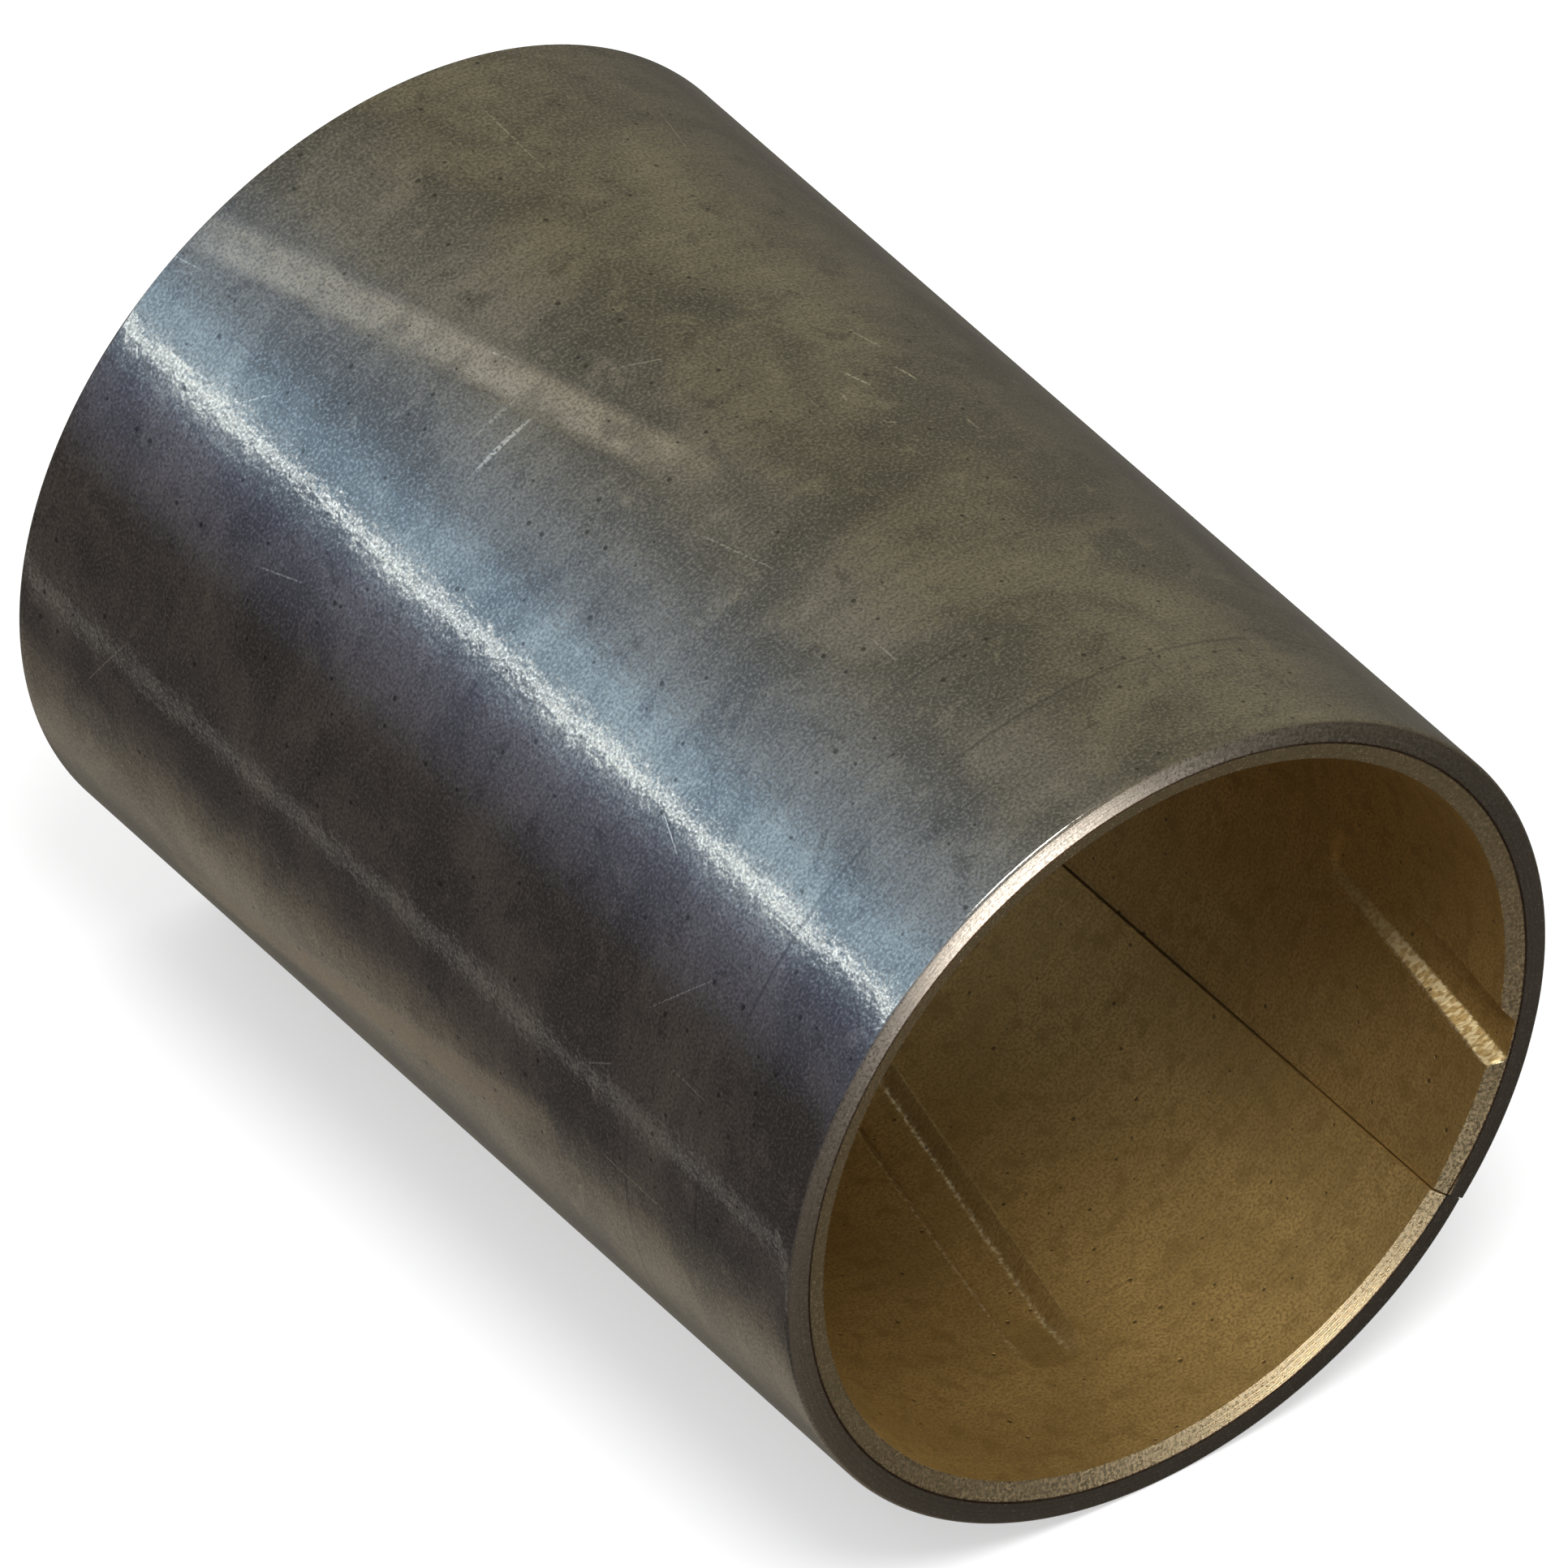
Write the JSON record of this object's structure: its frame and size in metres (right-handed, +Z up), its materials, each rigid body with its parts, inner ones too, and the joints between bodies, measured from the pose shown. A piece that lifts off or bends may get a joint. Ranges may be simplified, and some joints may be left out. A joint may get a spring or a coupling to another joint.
{
  "type": "sleeve bushing",
  "caption": "Wrapped plain bearing bush: a rolled steel shell with a bonded bronze lining, an axial butt joint and slanted oil pockets in the bore.",
  "frame": {"origin": "on the bore's axis, halfway between the two end faces", "axes": "+X along the bore towards the mouth, the end that shows the open oil pocket; +Z up with the bush lying on its side; the butt joint is 38.2 degrees below +Y"},
  "size_m": [0.054, 0.039, 0.039],
  "materials": {
    "steel_backing": "satin rolled strip, faintly oiled and mottled, with turned end faces",
    "bronze": "matt satin cast bronze with small dark pores and pressed oil pockets"
  },
  "bodies": {
    "root": {"steel_shell": "steel_backing", "bronze_lining": "bronze"}
  },
  "joints": []
}
